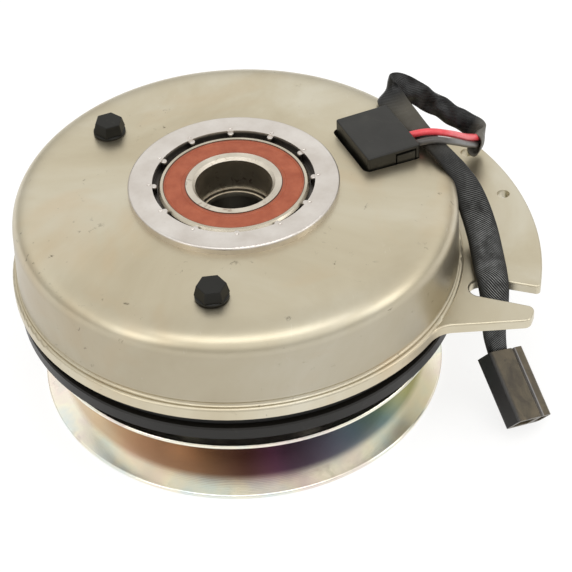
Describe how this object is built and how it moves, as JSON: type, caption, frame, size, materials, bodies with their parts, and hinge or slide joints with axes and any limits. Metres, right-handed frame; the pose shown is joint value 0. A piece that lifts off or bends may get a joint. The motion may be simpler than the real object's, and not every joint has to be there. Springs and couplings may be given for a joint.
{
  "type": "electromagnetic clutch",
  "caption": "Electromagnetic clutch: a stationary coil shell with an anti-rotation ear, a keyed rotor, a sprung armature and a flared V-belt pulley, with a wired plug.",
  "frame": {"origin": "on the shaft axis, level with the hub's lower end and the pulley's lower lip, the plane the clutch stands on", "axes": "+Z along the shaft from the pulley to the stationary field shell; +X to the middle of the shell's anti-rotation ear; +Y completes the right-handed set"},
  "size_m": [0.2216, 0.1892, 0.1004],
  "materials": {
    "zinc_plate": "dull zinc plate, drawn and stained",
    "dark_plastic": "moulded",
    "copper_wire": "enamelled wire",
    "tape": "woven tape",
    "brass_terminal": "tinned blades",
    "black_steel": "black phosphate",
    "bearing_steel": "ground",
    "ball_steel": "polished",
    "cage_steel": "pressed",
    "orange_seal": "moulded rubber",
    "black_seal": "moulded rubber",
    "machined_steel": "turned",
    "friction": "bonded friction lining",
    "black_oxide": "black oxide",
    "rivet_steel": "plated",
    "spring_steel": "cold rolled",
    "pulley_steel": "iridescent zinc plate",
    "plug_plastic": "nylon, scuffed",
    "red_wire": "insulation",
    "black_wire": "insulation",
    "sleeve": "braided sleeve"
  },
  "bodies": {
    "field": {"field_shell": "zinc_plate", "bearing_housing": "zinc_plate", "coil_bobbin": "dark_plastic", "coil_winding": "copper_wire", "coil_wrap": "tape", "terminal_header": "dark_plastic", "header_terminals": "brass_terminal", "field_screws": "black_steel", "field_bearing_outer_ring": "bearing_steel", "field_bearing_upper_seal": "orange_seal", "field_bearing_lower_seal": "orange_seal", "coil_plug": "plug_plastic", "red_lead": "red_wire", "black_lead": "black_wire", "wiring_sleeve": "sleeve", "engine_plug": "plug_plastic", "engine_plug_terminals": "brass_terminal"},
    "rotor": {"rotor_hub": "machined_steel", "rotor": "machined_steel", "friction_ring": "friction", "hub_retaining_ring": "black_steel", "field_bearing_inner_ring": "bearing_steel", "pulley_bearing_inner_ring": "bearing_steel"},
    "field_ball_set": {"field_bearing_balls": "ball_steel", "field_bearing_cage": "cage_steel"},
    "pulley": {"pulley_upper_half": "pulley_steel", "pulley_lower_half": "pulley_steel", "pulley_hub": "machined_steel", "hub_rivets": "rivet_steel", "pulley_retaining_ring": "black_steel", "pulley_bearing_outer_ring": "bearing_steel", "pulley_bearing_upper_seal": "black_seal", "pulley_bearing_lower_seal": "black_seal", "leaf_springs": "spring_steel", "spring_posts": "rivet_steel", "post_rivets": "rivet_steel"},
    "pulley_ball_set": {"pulley_bearing_balls": "ball_steel", "pulley_bearing_cage": "cage_steel"},
    "armature": {"armature_plate": "black_oxide", "armature_rivets": "rivet_steel"}
  },
  "joints": [
    {"name": "rotor_spin", "type": "hinge", "parent": "field", "child": "rotor", "pos_m": [0, 0, 0], "axis": [0, 0, 1], "continuous": true},
    {"name": "field_balls_orbit", "type": "hinge", "parent": "field", "child": "field_ball_set", "pos_m": [0, 0, 0], "axis": [0, 0, 1], "continuous": true},
    {"name": "pulley_spin", "type": "hinge", "parent": "rotor", "child": "pulley", "pos_m": [0, 0, 0], "axis": [0, 0, 1], "continuous": true},
    {"name": "pulley_balls_orbit", "type": "hinge", "parent": "rotor", "child": "pulley_ball_set", "pos_m": [0, 0, 0], "axis": [0, 0, 1], "continuous": true},
    {"name": "armature_slide", "type": "slide", "parent": "pulley", "child": "armature", "axis": [0, 0, 1], "range_m": [0, 0.00038], "stiffness_N_per_m": 20000}
  ],
  "couplings": [
    {"joint": "field_balls_orbit", "follows": "rotor_spin", "ratio": 0.4035},
    {"joint": "pulley_balls_orbit", "follows": "pulley_spin", "ratio": 0.587}
  ]
}
